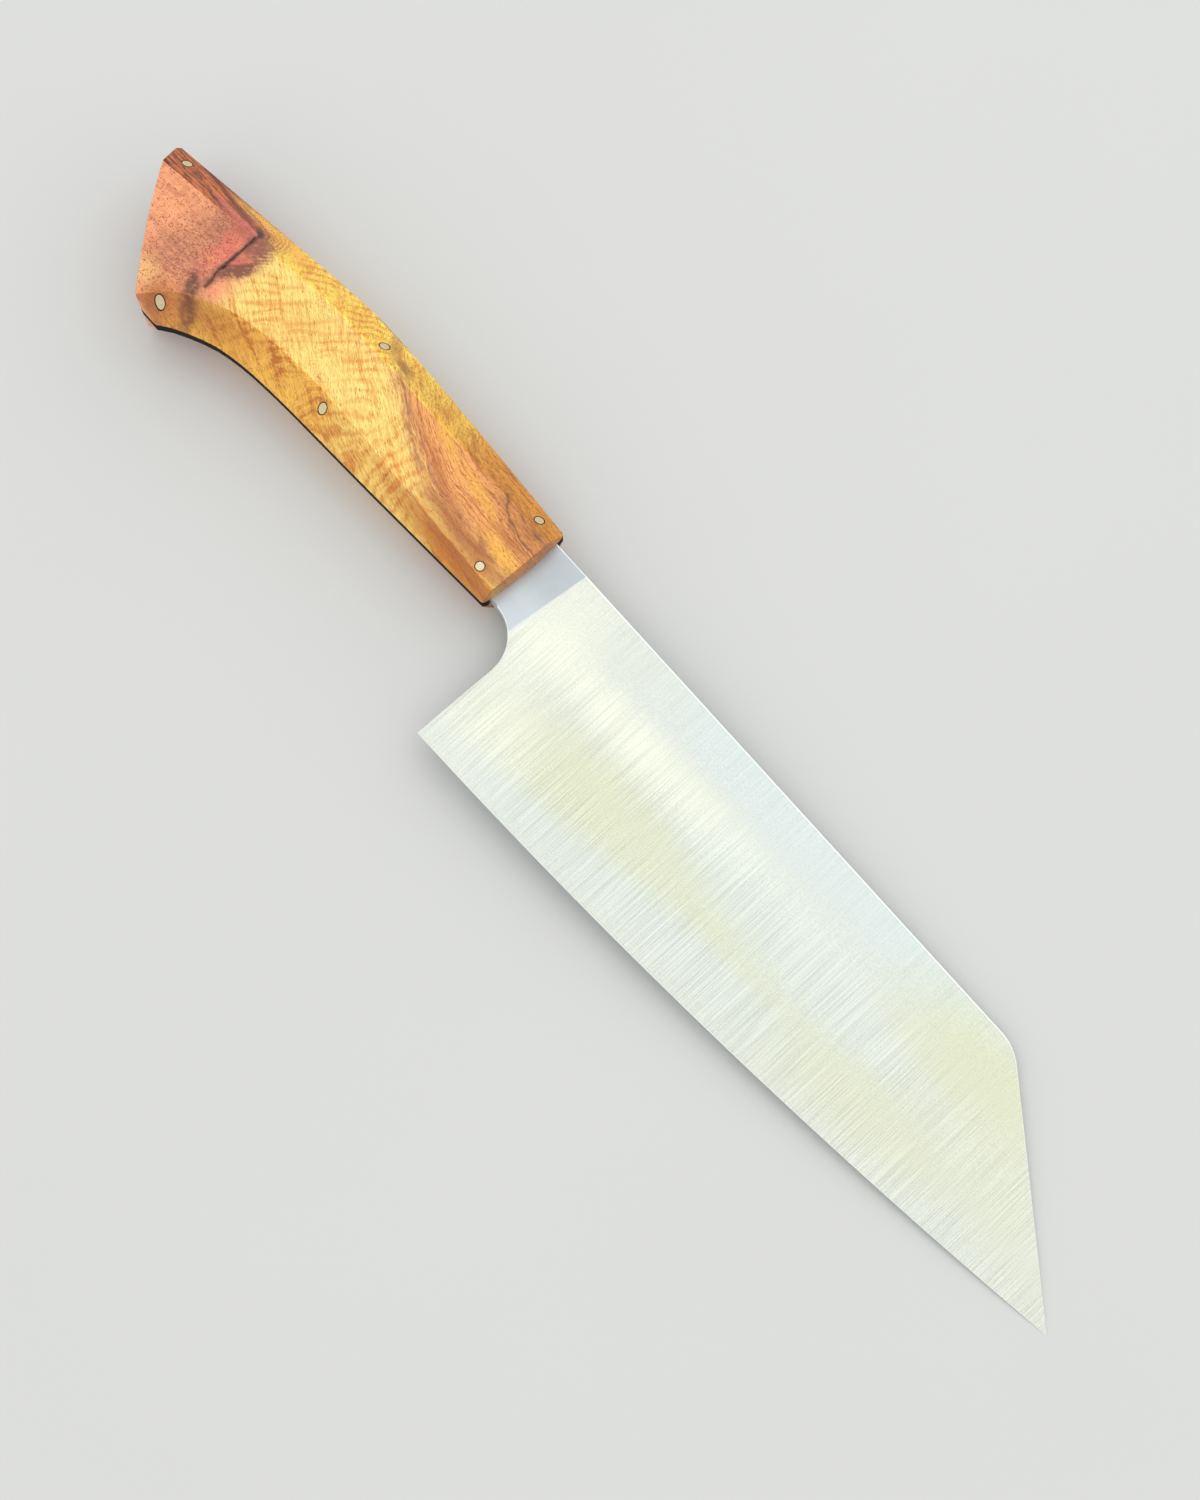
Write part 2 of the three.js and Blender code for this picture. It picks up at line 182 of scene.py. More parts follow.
class KnifeStageSettings(bpy.types.PropertyGroup):
    floor: colour_setting("Floor", "Plain pale floor", (0.66, 0.66, 0.655))
    floor_size: length_setting("Floor size", "Side of the floor", 6.0)
    zenith: FloatProperty(name="Zenith", description="Light of the dome overhead", default=1.06, min=0)
    horizon: FloatProperty(name="Horizon", description="Light of the dome low down", default=0.98, min=0)
    lamp_power: FloatProperty(name="Lamp", description="Soft lamp on the spine side", default=1.8, min=0)
    lamp_size: length_setting("Lamp size", "Side of the soft lamp", 1.1)
    lamp_reach: length_setting("Lamp reach", "Distance of the lamp from the knife", 1.2)
    camera_tilt: FloatProperty(
        name="Camera tilt", description="From straight down", default=math.radians(13), unit="ROTATION"
    )
    camera_turn: FloatProperty(
        name="Camera turn", description="About the vertical", default=math.radians(48.74), unit="ROTATION"
    )
    camera_distance: length_setting("Camera distance", "To the middle of the picture", 0.5544)
    camera_aim: FloatVectorProperty(
        name="Camera aim",
        description="Place in the middle of the picture",
        default=(0.10065, -0.014, MID_PLANE),
        subtype="XYZ",
        unit="LENGTH",
    )
    lens: FloatProperty(name="Lens", description="Focal length in millimetres", default=62.4, min=1)


class Wire:
    """A shader socket that takes part in Python arithmetic and adds the nodes for it."""

    def __init__(self, tree, socket=None):
        self.tree = tree
        self.socket = socket

    def node(self, kind, settings=None, inputs=None, output=0):
        """Adds a node, sets it, fills or links its inputs and gives one of its outputs."""
        node = self.tree.nodes.new(kind)
        for name, value in (settings or {}).items():
            setattr(node, name, value)
        for name, value in (inputs or {}).items():
            if isinstance(value, Wire):
                self.tree.links.new(value.socket, node.inputs[name])
            else:
                node.inputs[name].default_value = value
        return Wire(self.tree, node.outputs[output])

    def maths(self, operation, *values):
        return self.node("ShaderNodeMath", {"operation": operation}, dict(enumerate((self, *values))))

    def reflected(self, operation, value):
        return self.node("ShaderNodeMath", {"operation": operation}, {0: value, 1: self})

    def __add__(self, value):
        return self.maths("ADD", value)

    def __sub__(self, value):
        return self.maths("SUBTRACT", value)

    def __rsub__(self, value):
        return self.reflected("SUBTRACT", value)

    def __mul__(self, value):
        return self.maths("MULTIPLY", value)

    __radd__ = __add__
    __rmul__ = __mul__


MIX_FACTOR, MIX_FIRST, MIX_SECOND, MIX_COLOUR = 0, 6, 7, 2  # sockets of a Mix node set to colours


def blend(first, second, factor):
    """From the first colour to the second as the factor goes from 0 to 1."""
    sockets = {MIX_FACTOR: factor, MIX_FIRST: rgba(first), MIX_SECOND: rgba(second)}
    return factor.node("ShaderNodeMix", {"data_type": "RGBA"}, sockets, MIX_COLOUR)


def rgba(colour):
    return colour if isinstance(colour, Wire) else (*colour, 1)


def dimmed(colour, factor):
    """The colour times the factor."""
    return factor.node("ShaderNodeHueSaturation", None, {"Value": factor, "Color": rgba(colour)})


def rise(value, low, high):
    """0 below low, 1 above high and a smooth step between them."""
    settings = {"interpolation_type": "SMOOTHSTEP"}
    return value.node("ShaderNodeMapRange", settings, {"Value": value, "From Min": low, "From Max": high})


def fall(value, low, high):
    return 1 - rise(value, low, high)


def noise(place, scale, detail=2.0, roughness=0.5):
    inputs = {"Vector": place, "Scale": scale, "Detail": detail, "Roughness": roughness}
    return place.node("ShaderNodeTexNoise", None, inputs)


def point(x, y, z):
    wires = [value for value in (x, y, z) if isinstance(value, Wire)]
    return wires[0].node("ShaderNodeCombineXYZ", None, {"X": x, "Y": y, "Z": z})


def millimetres(wire):
    """Place on the piece in millimetres, with z counted from the blade's mid-plane, and its parts."""
    place = wire.node("ShaderNodeTexCoord", output="Object")
    inputs = {"Vector": place, "Location": (0, 0, -MID_PLANE / MM), "Scale": (1 / MM,) * 3}
    place = wire.node("ShaderNodeMapping", {"vector_type": "POINT"}, inputs)
    parts = [wire.node("ShaderNodeSeparateXYZ", None, {0: place}, axis) for axis in range(3)]
    return place, *parts


def vector(wire, operation, *values, output=0):
    return wire.node("ShaderNodeVectorMath", {"operation": operation}, dict(enumerate(values)), output)


LENGTH_OUT = 1  # Vector Math's value output


def stroke(place, points, width, feather):
    """A soft line through the points, as a mask."""
    nearest = None
    for start, end in zip(points, points[1:]):
        run = Vector((*end, 0)) - Vector((*start, 0))
        offset = vector(place, "SUBTRACT", place, (*start, 0))
        along = vector(place, "DOT_PRODUCT", offset, tuple(run), output=LENGTH_OUT)
        along = rise_straight(along, run.length_squared)
        foot = place.node("ShaderNodeVectorMath", {"operation": "SCALE"}, {0: tuple(run), "Scale": along})
        apart = vector(place, "DISTANCE", offset, foot, output=LENGTH_OUT)
        nearest = nearest.maths("MINIMUM", apart) if nearest else apart
    return fall(nearest, max(width - feather, 0) / 2, (width + feather) / 2)


def rise_straight(value, high):
    """0 to 1 in a straight line from 0 to high."""
    return value.node("ShaderNodeMapRange", None, {"Value": value, "From Max": high})


def patch(place, centre, radii, turn, feather):
    """A soft ellipse, as a mask."""
    cosine, sine = math.cos(math.radians(turn)), math.sin(math.radians(turn))
    long, short = radii
    offset = vector(place, "SUBTRACT", place, (*centre, 0))
    along = vector(place, "DOT_PRODUCT", offset, (cosine / long, sine / long, 0), output=LENGTH_OUT)
    across = vector(place, "DOT_PRODUCT", offset, (-sine / short, cosine / short, 0), output=LENGTH_OUT)
    return fall((along * along + across * across).maths("SQRT"), 1 - feather, 1 + feather)


SHIFT = (0, 0, 1e-6)  # too small to see


def after(place, mask):
    """The same place, but known only once the mask is, so marks are worked out one at a time.

    A material that works out all its marks at once needs more values than the renderer can hold.
    """
    shift = place.node("ShaderNodeVectorMath", {"operation": "SCALE"}, {0: SHIFT, "Scale": mask})
    return vector(place, "ADD", place, shift)


def new_material(name):
    """An empty Principled material and a wire to build its nodes from."""
    material = bpy.data.materials.new(name)
    material.use_nodes = True
    return material, Wire(material.node_tree), material.node_tree.nodes["Principled BSDF"]


def plug(wire, shader, inputs):
    for name, value in inputs.items():
        if isinstance(value, Wire):
            wire.tree.links.new(value.socket, shader.inputs[name])
        else:
            shader.inputs[name].default_value = value


def directions(wire):
    """Forward, upward and sideways parts of the outward direction."""
    facing = wire.node("ShaderNodeAttribute", {"attribute_name": FACING}, output="Vector")
    return [wire.node("ShaderNodeSeparateXYZ", None, {0: facing}, axis) for axis in range(3)]


def bump(height, distance):
    return height.node("ShaderNodeBump", None, {"Height": height, "Distance": distance})


GRIND_SLANT = 0.02  # how far the grinding lines lean from straight across
PLUNGE_FOOT, PLUNGE_SLANT = 68.5, 0.0875  # millimetres; where the grind starts and how it leans
REFLECTION_FEATHER = 0.9
# Painted reflections on the ground faces, patches of the surroundings painted into the steel's colour:
# colour, weight, centre and radii in millimetres, turn in degrees
PAINTED_REFLECTIONS = (
    ("warm_reflection", 0.8, (103, -23), (22, 8), 2),
    ("warm_reflection", 0.5, (128, -20), (26, 8), 0),
    ("warm_reflection", 0.45, (160, -21), (28, 7), 4),
    ("cream_reflection", 0.75, (110, -7.2), (48, 4.4), 0),
    ("cream_reflection", 0.6, (76, -6), (8, 12), 0),
    ("cream_reflection", 0.5, (82, -30), (10, 12), 0),
    ("cool_reflection", 0.6, (158, -12), (30, 7), -4),
    ("cool_reflection", 0.5, (104, -35), (26, 3.5), 6),
    ("warm_reflection", 0.6, (196, -23), (24, 7), 10),
    ("warm_reflection", 0.9, (204, 0), (20, 9), 0),
    ("warm_reflection", 0.35, (228, -12), (20, 10), -30),
    ("cool_reflection", 0.6, (144, -29), (24, 4), 5),
)


def ground_steel(settings):
    """Satin steel with grinding lines from edge to spine, painted reflections, edges finished smooth with
    a painted highlight, and a matte ricasso.
    """
    material, wire, shader = new_material("ground_steel")
    place, x, y, z = millimetres(wire)
    across = x + y * GRIND_SLANT
    hair = noise(point(across * 5.4, y * 0.05, z * 0.05), 1.0, 2.0, 0.6)
    lines = noise(point(across * 2.2, y * 0.03, z * 0.05), 1.0, 3.0, 0.75)
    deep = rise(noise(point(across * 2.6, y * 0.05, z * 0.05), 1.0, 1.0), 0.62, 0.72)
    grain = noise(place, 3.2, 2.0, 0.6)
    cloud = noise(vector(place, "MULTIPLY", place, (0.02, 0.055, 0.05)), 1.0, 1.5)
    flat = vector(place, "MULTIPLY", place, (1, 1, 0))
    drift = (cloud - 0.5) * 8
    # Painted reflection: a bluish cast towards the spine over the middle of the blade
    cool_reflection = rise(y + drift, -6, 4) * rise(x, 88, 120) * fall(x, 190, 215)
    body = blend(settings.steel, settings.cool_reflection, cool_reflection)
    for name, weight, centre, radii, turn in PAINTED_REFLECTIONS:
        mask = patch(flat, centre, radii, turn, REFLECTION_FEATHER)
        body = blend(body, getattr(settings, name), mask * weight)
        flat = after(flat, mask)
    plain = 0.45 + fall(y + drift, -16, 2) * 0.55  # the lines are plainest towards the edge
    scratches = (rise(lines, 0.36, 0.64) - 0.5) * 0.05
    scratches = scratches + (rise(hair, 0.34, 0.66) - 0.5) * 0.22 - deep * 0.08
    body = dimmed(body, 1 + scratches * plain + (grain - 0.5) * 0.42)
    plunge = (x - y * PLUNGE_SLANT) - PLUNGE_FOOT
    stock = fall(plunge, 0.5, 1.1)
    mottled = dimmed(settings.ricasso, 0.94 + noise(place, 0.5, 4.0) * 0.12 + fall(y, -6, 2) * 0.2)
    body = blend(body, mottled, stock)
    # A painted highlight along the eased spine, clip and choil and along the cutting edge, which also get
    # a lower roughness
    sideways = directions(wire)[2].maths("ABSOLUTE")
    eased = rise(sideways, 0.3, 0.55) * fall(sideways, 0.9, 0.97)
    keen = fall(z.maths("ABSOLUTE"), 0.03, 0.05)
    polished_and_highlit = eased.maths("MAXIMUM", keen)
    body = blend(body, settings.painted_edge_highlight, polished_and_highlit * 0.8)
    rough = settings.roughness + (lines - 0.5) * 0.1 + deep * 0.06 + stock * 0.14 - polished_and_highlit * 0.1
    inputs = {
        "Base Color": body,
        "Metallic": 1.0,
        "Roughness": rough,
        "Normal": bump(hair + lines * 0.6 + deep, 0.000004),
    }
    plug(wire, shader, inputs)
    return material


BUTT_WOOD = (-34, -26)  # millimetres along the handle, over which the wood of the butt ends
BUTT_BEVELS = (-36, -28)  # the same on the bevels
CURL_EDGE = 33.2  # level of the grain from the curly wood below to the plain wood above
# Marks of the wood: colour, weight, width, feather and the points of a line, in millimetres
LINES = (
    # Along the spine bevel at the butt
    ("rust_dark", 0.75, 1.2, 1.2, ((-57.5, 8), (-52, 7.3), (-47, 6.6), (-42, 5.8), (-37.5, 5.4))),
    ("red", 0.55, 0.7, 1.2, ((-50, 4.6), (-44, 4.2), (-40, 4.5), (-35.5, 4.6))),
    ("bark", 0.6, 0.3, 0.5, ((-45, 7.9), (-39, 8), (-34.8, 7.3), (-32.5, 5.6))),
    # The knot
    ("mauve", 0.6, 1.6, 1.6, ((-34.1, 4), (-33.6, -4), (-33, -11))),
    ("red", 0.7, 0.8, 1.0, ((-33, -3.8), (-31.8, -2.3), (-30.6, -0.7))),
    ("ink", 0.92, 0.8, 0.8, ((-35.6, 5.7), (-34.3, 5.1), (-34, 3), (-33.9, -2), (-33.6, -6))),
    ("ink", 0.8, 0.6, 0.7, ((-33.6, -6), (-33.2, -9.5), (-32.8, -11.8))),
    # Curly lines in the middle
    ("gold_dark", 0.6, 0.6, 1.1, ((-24, -7.5), (-21, -5), (-18.5, -2), (-16.5, 1), (-15, 3.2))),
    ("gold_dark", 0.45, 0.5, 1.1, ((-21.8, 0), (-20, 2.5), (-18.6, 4.2))),
    ("gold_dark", 0.45, 0.5, 1.1, ((-14, -4), (-11, 0), (-8.3, 4.2))),
    ("brown", 0.5, 0.6, 1.0, ((30, 11), (32, 9.6), (34.5, 8.4))),
    # The check at the front and the stripes of the belly bevel
    ("bark", 0.6, 0.3, 0.5, ((46, 7), (48.5, 5.3), (50.5, 3.9), (53, 3.2), (56, 2.6), (59.8, 2.5))),
    ("bark", 0.4, 0.3, 0.6, ((51, 3.4), (55, 1.9), (60, 1.6))),
    ("bark", 0.3, 0.25, 0.6, ((49, 7), (54, 6.2), (60, 5.9))),
    ("tan_dark", 0.65, 0.5, 0.7, ((32, -8.6), (44, -9.4), (52, -10), (60, -10.6))),
    ("tan_dark", 0.65, 0.5, 0.7, ((40, -9.8), (52, -10.7), (60, -11.3))),
    ("tan_dark", 0.7, 0.4, 0.6, ((46, -9.1), (60, -9.9))),
)
# Spots of the wood: colour, weight, centre and radii in millimetres, turn in degrees, and feather
SPOTS = (
    # The butt and the knot
    ("mauve", 0.4, (-41.5, -4), (5.5, 12), 0, 0.8),
    ("mauve", 0.5, (-38.5, 0.8), (4.2, 4.2), 0, 0.8),
    ("mauve", 0.3, (-44.5, -12.5), (5, 4.5), 30, 0.9),
    ("amber", 0.75, (-38, 8.9), (9, 1.1), 6, 0.6),
    ("amber", 0.6, (-31, 8.6), (6, 2.4), 4, 0.8),
    ("red", 0.75, (-36, -0.8), (2.8, 6.4), 3, 0.8),
    ("red", 0.4, (-36.4, -8.4), (2.2, 3.8), 10, 0.8),
    ("umber", 0.55, (-35.4, 3.6), (3.4, 1.6), 10, 0.8),
    ("red", 0.6, (-31.8, -0.6), (2.4, 4.4), -20, 0.8),
    ("umber", 0.8, (-31.4, 2.6), (3, 2.4), 40, 0.7),
    ("umber", 0.95, (-31, -3.8), (4.6, 2), 58, 0.6),
    ("umber", 0.7, (-32.8, -8.4), (3.2, 1), 75, 0.7),
    ("red", 0.4, (-31.6, -10.2), (2, 1.8), 0, 0.8),
    ("red", 0.45, (-40, 4.2), (5, 1.6), 4, 0.8),
    ("mauve", 0.5, (-34.8, -13.5), (4.6, 2.6), -60, 0.8),
    ("bark", 0.8, (-34.8, -13.8), (3, 1.3), -52, 0.8),
    ("bark", 0.75, (-32.6, -17.6), (2.8, 1.5), -55, 0.9),
    ("ink", 0.8, (-35.5, 5.8), (2.2, 0.8), -20, 0.5),
    # The belly bevel behind the grip
    ("gold", 0.3, (-44.8, -19.4), (3.8, 3), -30, 0.9),
    ("amber_dark", 0.5, (-37.5, -20.5), (3.4, 4), -20, 0.8),
    ("brown", 0.4, (-38.6, -21), (3.6, 2.4), -30, 0.9),
    ("brown", 0.35, (-32, -20.4), (3.4, 1.4), -50, 0.9),
    ("brown", 0.45, (-29, -16), (6.5, 3), 25, 0.9),
    ("amber_dark", 0.38, (-20.5, -13.6), (7, 2.4), 18, 0.9),
    # The middle of the grip
    ("gold_dark", 0.3, (-12, -2), (5, 3), 30, 0.9),
    ("gold", 0.35, (8, -5), (6, 3), -20, 0.9),
    ("gold_dark", 0.6, (1.5, 1.3), (1.8, 1), 45, 0.8),
    # The spine bevel round its middle pin
    ("brown", 0.75, (9.5, 9.3), (2.8, 1.2), -10, 0.6),
    ("brown", 0.55, (3.6, 11.6), (3.2, 1.2), -35, 0.8),
    ("brown", 0.22, (16, 10.2), (7, 2.2), -6, 0.9),
    # The front
    ("amber", 0.6, (29, 5.4), (5, 1.2), -24, 0.8),
    ("amber", 0.55, (43, 2.6), (6, 1.2), -14, 0.8),
    ("amber", 0.7, (55.5, -2.4), (5, 1.8), -4, 0.8),
    ("tan_dark", 0.6, (55, 0.6), (5, 1.2), 0, 0.8),
    ("brown", 0.4, (52, 4.6), (9, 2), -8, 0.9),
    ("brown", 0.35, (57.5, 5.6), (4, 1.8), 0, 0.9),
    ("tan_dark", 0.5, (36, -2), (9, 1.3), -24, 0.8),
    ("tan_dark", 0.8, (49, -6.6), (14, 2.1), -3, 0.7),
    ("amber_dark", 0.8, (48, -10.8), (16, 2.2), -3, 0.8),
    ("bark", 0.25, (58.5, 6.3), (1.9, 0.9), 0, 0.8),
    ("bark", 0.2, (47.5, 6), (1.8, 1.1), -40, 0.8),
)
FLAMES = ("umber", "bark", "mauve", "red")  # colours of spots that are broken up


def ripple(value, spacing):
    """A wave from 0 to 1 that repeats at each spacing."""
    return (value * (math.tau / spacing)).maths("SINE") * 0.5 + 0.5


def wood_tone(settings, shade, middle, plain, front, spine, below):
    """Tone of one shade from butt to blade, on the flat and on the two bevels, where the bevels' tones
    add painted facet shading to the wood's colour.
    """
    names = ("salmon", "gold", "tan", "rust", "honey", "olive", "amber")
    salmon, gold, tan, rust, honey, olive, amber = (getattr(settings, name + shade) for name in names)
    flat = blend(blend(salmon, gold, middle), tan, plain)
    above = blend(blend(rust, honey, middle), olive, front)
    return blend(blend(flat, above, spine), amber, below)


def figured_wood(settings):
    """Oiled wood: salmon butt with a knot, curly gold middle, tan front and pores along the grain."""
    material, wire, shader = new_material("figured_wood")
    place, x, y, z = millimetres(wire)
    sway = noise(place, 0.09, 2.0) - 0.5
    shiver = noise(place, 0.45, 4.0, 0.55) - 0.5
    forward, upward, _ = directions(wire)
    spine, belly = rise(upward, 0.1, 0.34), fall(upward, -0.4, -0.1)

    # The grain runs level at the butt, falls through the middle and levels out at the blade.
    fallen = (x + 31).maths("SMOOTH_MAX", 0.0, 10.0) * 0.6
    fallen = fallen - (x - 8).maths("SMOOTH_MAX", 0.0, 8.0) * 0.13
    fallen = fallen - (x - 34).maths("SMOOTH_MAX", 0.0, 8.0) * 0.4
    grain = y + fallen + z * 0.3 + sway * 2.4 + shiver * 0.5
    spot = point(x + sway * 1.6 + shiver * 1.4, y + shiver * 1.4, 0.0)

    # How dark the grain and the figure make each place
    bands = rise(noise(point(x * 0.05, grain * 0.45, z * 0.1), 1.0, 3.0, 0.6), 0.46, 0.68)
    fibres = noise(point(x * 0.28, grain * 2.1, z * 0.7), 1.0, 3.0, 0.65)
    hairs = noise(point(x * 0.7, grain * 4.8, z * 2), 1.0, 2.0, 0.6)
    depth = bands * 0.34 + rise(fibres, 0.42, 0.62) * 0.46 + rise(hairs, 0.45, 0.64) * 0.36 - 0.12
    slant = fall(x, 2, 22) * 0.85 + 0.1
    run = (x - y * slant) * 0.78 + sway * 6 + shiver * 1.1
    wide, fine = ripple(run, 2.3), ripple(run + shiver * 0.6, 0.85)
    edge = grain - CURL_EDGE
    plain = rise(edge + shiver * 3, -3, 3)
    curly = rise(x, -31, -24) * (1 - plain) * fall(x + sway * 8, 32, 40)
    deep = rise(noise(place, 0.08, 1.0), 0.36, 0.58)
    depth = depth + wide * wide * curly * deep * 0.46
    depth = depth + fine * curly * rise(noise(place, 0.17, 1.0), 0.4, 0.6) * 0.24
    combed = ripple((y - x * 0.5) + sway * 4 + shiver * 0.8, 0.95)
    depth = depth + combed * bands * belly * rise(x, *BUTT_BEVELS) * fall(x, -12, -4) * 0.7
    threads = noise(point(x * 0.06, grain * 3.2, z * 0.4), 1.0, 1.0)
    depth = depth + (rise(threads, 0.4, 0.6) - 0.4) * plain * 0.4
    stripes = rise(noise(point(x * 0.05, y * 1.7, z * 0.4), 1.0, 2.0), 0.42, 0.6)
    depth = depth + stripes * spine * fall(x, *BUTT_BEVELS) * 0.6
    streak = rise(edge + shiver * 2, -2.4, 0.4) * fall(edge + shiver * 2, 0.8, 4) * rise(x, 2, 10)
    streak = streak * rise(noise(point(x * 0.2, grain * 0.9, 0.0), 1.0, 3.0, 0.6), 0.4, 0.62)

    # Light and dark tones from butt to blade, on the flat and on the two bevels; the bevels' tones are
    # the wood's colour with painted shading of each facet
    middle = rise(x + sway * 8 + y * 0.15, -34, -25)
    below = belly * rise(x + sway * 6, -44, -31) * (0.9 - rise(x, 2, 14) * fall(x, 36, 48) * 0.5)
    zones = (middle, plain, rise(x + sway * 14, 8, 44), spine, below)
    light, dark = wood_tone(settings, "", *zones), wood_tone(settings, "_dark", *zones)
    depth = (depth + below * fall(x, *BUTT_WOOD) * 0.3).maths("MINIMUM", 1.0).maths("MAXIMUM", 0.0)
    tone = blend(light, dark, depth)
    tone = blend(tone, settings.mauve, streak * 0.68)
    columns = ripple(x + y * 0.1 + shiver * 3 + sway * 4, 2.1) * fall(x, -38, -34) * (0.3 + bands)
    tone = blend(tone, settings.mauve, columns * (1 - spine) * 0.27)

    # Spots, arches and slashes round the knot, and lines
    crumbs = noise(point(x * 0.5 + y * 0.3, y * 0.9 - x * 0.5, 0.0), 1.0, 4.0, 0.7)
    broken = 0.5 + rise(crumbs, 0.34, 0.6)
    for name, weight, centre, radii, turn, feather in SPOTS:
        mask = patch(spot, centre, radii, turn, feather)
        if name in FLAMES:
            mask = (mask * broken).maths("MINIMUM", 1.0)
        tone = blend(tone, getattr(settings, name), mask * weight)
        spot = after(spot, mask)
    arches = ripple(vector(wire, "DISTANCE", spot, (-35.4, 4.6, 0), output=LENGTH_OUT), 0.8)
    arched = patch(spot, (-32.2, 7.2), (3.6, 2.6), 0, 0.6)
    tone = blend(tone, settings.brown, arches * arched * 0.6)
    slashes = ripple((x - y * 0.95) + shiver, 1.1)
    slashed = patch(spot, (-30.2, 2), (2.8, 2.2), 0, 0.5)
    tone = blend(tone, settings.mauve, slashes * slashed * 0.7)
    for name, weight, width, feather, points in LINES:
        mask = stroke(spot, points, width, feather)
        tone = blend(tone, getattr(settings, name), mask * weight)
        spot = after(spot, mask)

    # Pores: dots in rows at the butt, dashes along the grain elsewhere
    crowd = patch(spot, (-41, -4), (7, 14), 0, 0.8) * 0.08
    dots = rise(noise(point(x * 3, grain * 3, z * 3), 1.0, 0.0) + crowd, 0.62, 0.74) * fall(x, *BUTT_WOOD)
    dashes = rise(noise(point(x * 1.1, grain * 6.0, z * 2.5), 1.0, 0.0) + plain * 0.05, 0.66, 0.78)
    pores = dots.maths("MAXIMUM", dashes * rise(x, *BUTT_WOOD))
    tone = blend(tone, settings.brown, pores * 0.7)

    # A painted highlight makes the ridges paler, and end grain takes up more oil
    slope = upward.maths("ABSOLUTE")
    tone = dimmed(tone, 1 + rise(slope, 0.12, 0.2) * fall(slope, 0.26, 0.36) * 0.2)
    tone = blend(tone, settings.brown, rise(forward, 0.45, 0.8) * 0.55)
    tone = dimmed(tone, 1 - rise(forward * -1, 0.45, 0.8) * 0.4)

    inputs = {
        "Base Color": tone,
        "Roughness": settings.roughness + pores * 0.2 + (fibres - 0.5) * 0.12,
        "Specular IOR Level": settings.shine,
        "Coat Weight": settings.sheen * (1 - pores),
        "Coat Roughness": 0.2,
        "Normal": bump(fibres * 0.4 - hairs * 0.2, 0.00005),
    }
    plug(wire, shader, inputs)
    return material


def black_composite(settings):
    """Pressed black spacer, sanded along the handle."""
    material, wire, shader = new_material("black_composite")
    place, x, y, z = millimetres(wire)
    fleck = rise(noise(place, 3.0, 2.0), 0.6, 0.75)
    sanding = noise(point(x * 0.2, y * 4, z * 4), 1.0, 2.0)
    inputs = {
        "Base Color": blend(settings.composite, settings.fleck, fleck * 0.5 + sanding * 0.2),
        "Roughness": 0.6 + sanding * 0.2,
        "Specular IOR Level": 0.08,
        "Normal": bump(sanding + fleck * 0.4, 0.00002),
    }
    plug(wire, shader, inputs)
    return material


def sanded_brass(settings):
    """Brass rod sanded flush with the wood."""
    material, wire, shader = new_material("sanded_brass")
    place, x, y, z = millimetres(wire)
    sanding = noise(point((x + y) * 7, (x - y) * 0.5, z * 0.5), 1.0, 2.0)
    tarnish = noise(place, 1.4, 3.0)
    tone = dimmed(settings.brass, 0.82 + sanding * 0.3)
    tone = blend(tone, settings.tarnish, rise(tarnish, 0.5, 0.75) * 0.35)
    inputs = {
        "Base Color": tone,
        "Metallic": 1.0,
        "Roughness": 0.3 + sanding * 0.22,
        "Normal": bump(sanding, 0.00001),
    }
    plug(wire, shader, inputs)
    return material


def dark_glue(settings):
    """Set glue with wood dust in it."""
    material, wire, shader = new_material("dark_glue")
    place = millimetres(wire)[0]
    dust = noise(place, 5.0, 2.0)
    inputs = {
        "Base Color": blend(settings.glue, settings.dust, rise(dust, 0.5, 0.8) * 0.6),
        "Roughness": 0.35 + dust * 0.25,
    }
    plug(wire, shader, inputs)
    return material


def pale_floor(settings):
    """Plain pale floor with the faintest mottling."""
    material, wire, shader = new_material("pale_floor")
    place = wire.node("ShaderNodeTexCoord", output="Object")
    mottle = noise(place, 9.0, 3.0)
    plug(wire, shader, {"Base Color": dimmed(settings.floor, 0.985 + mottle * 0.03), "Roughness": 0.75})
    return material


def solid_copy(node, name):
    """A welded copy of a solid with whole flat faces, active and alone in the selection."""
    bpy.ops.object.select_all(action="DESELECT")
    piece = bpy.data.objects.new(name, frame["nodes"][node].data.copy())
    piece.data.name = name
    bpy.context.scene.collection.objects.link(piece)
    bpy.context.view_layer.objects.active = piece
    piece.select_set(True)
    bpy.ops.mesh.customdata_custom_splitnormals_clear()
    bpy.ops.object.mode_set(mode="EDIT")
    bpy.ops.mesh.select_mode(type="EDGE")
    bpy.ops.mesh.select_all(action="SELECT")
    bpy.ops.mesh.remove_doubles(threshold=WELD)
    bpy.ops.mesh.dissolve_limited(angle_limit=FLATNESS)
    bpy.ops.object.mode_set(mode="OBJECT")
    return piece


def ease_edges(piece, weigh, width, segments):
    """Rounds edges with a bevel as wide as their weight says, from 0 for a sharp edge to 1."""
    bpy.ops.object.mode_set(mode="EDIT")
    shape = bmesh.from_edit_mesh(piece.data)
    layer = shape.edges.layers.float.new("bevel_weight_edge")
    for edge in shape.edges:
        edge[layer] = weigh(edge)
    bmesh.update_edit_mesh(piece.data)
    bpy.ops.object.mode_set(mode="OBJECT")
    bpy.ops.object.modifier_add(type="BEVEL")
    bevel = piece.modifiers[-1]
    bevel.limit_method = "WEIGHT"
    bevel.width = width
    bevel.segments = segments
    bevel.use_clamp_overlap = False
    bpy.ops.object.modifier_apply(modifier=bevel.name)


def keep_within(piece, node):
    """Brings back points that the easing has pushed out of the solid's box."""
    low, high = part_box(node)
    for vert in piece.data.vertices:
        vert.co = [min(max(part, least), most) for part, least, most in zip(vert.co, low, high)]


def middle_of(edge):
    return (edge.verts[0].co + edge.verts[1].co) / 2


